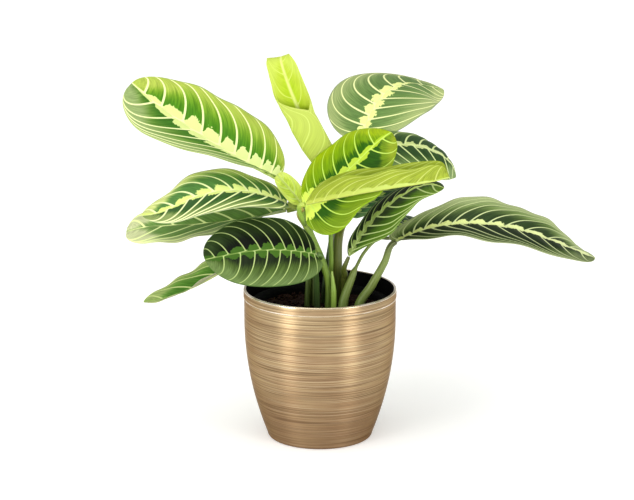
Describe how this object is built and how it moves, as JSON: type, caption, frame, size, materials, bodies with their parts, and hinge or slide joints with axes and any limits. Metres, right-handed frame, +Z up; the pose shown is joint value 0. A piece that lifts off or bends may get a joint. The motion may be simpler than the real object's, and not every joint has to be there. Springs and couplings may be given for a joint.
{
  "type": "potted prayer plant",
  "caption": "Leafy prayer plant with patterned oval leaves on slender arching stalks, in a black growing pot that stands inside a gold-lacquered round metal cachepot.",
  "frame": {"origin": "middle of the cachepot's flat foot, on the surface it stands on", "axes": "+Z up; -Y towards the front of the plant; +X towards its long right-hand leaf"},
  "size_m": [0.3988, 0.2847, 0.3296],
  "materials": {
    "gold_lacquer": "brushed gold-brown lacquer, satin",
    "black_plastic": "matt black moulded plastic",
    "potting_soil": "dark moist crumbly potting soil",
    "dark_leaf": "satin deep green with lighter midrib band and veins",
    "light_leaf": "satin yellow-green with pale band and darker patches",
    "green_stalk": "smooth olive green, finely striped"
  },
  "bodies": {
    "root": {"outer_pot": "gold_lacquer", "grow_pot": "black_plastic", "soil": "potting_soil", "leaf_upper_left": "light_leaf", "leaf_mid_left": "dark_leaf", "leaf_under_left": "light_leaf", "leaf_low_left": "dark_leaf", "leaf_drooping_left": "dark_leaf", "leaf_young_upright": "light_leaf", "leaf_top_right": "dark_leaf", "leaf_centre_bright": "light_leaf", "leaf_folded_front": "light_leaf", "leaf_behind_right": "dark_leaf", "leaf_inner_right": "dark_leaf", "leaf_long_right": "dark_leaf", "leaf_rear": "dark_leaf", "leaf_low_rear": "dark_leaf", "stalk_upper_left": "green_stalk", "stalk_mid_left": "green_stalk", "stalk_under_left": "green_stalk", "stalk_low_left": "green_stalk", "stalk_drooping_left": "green_stalk", "stalk_young_upright": "green_stalk", "stalk_top_right": "green_stalk", "stalk_centre_bright": "green_stalk", "stalk_folded_front": "green_stalk", "stalk_behind_right": "green_stalk", "stalk_inner_right": "green_stalk", "stalk_long_right": "green_stalk", "stalk_rear": "green_stalk", "stalk_low_rear": "green_stalk", "basal_sheath": "green_stalk", "stalk_wing": "light_leaf"}
  },
  "joints": []
}
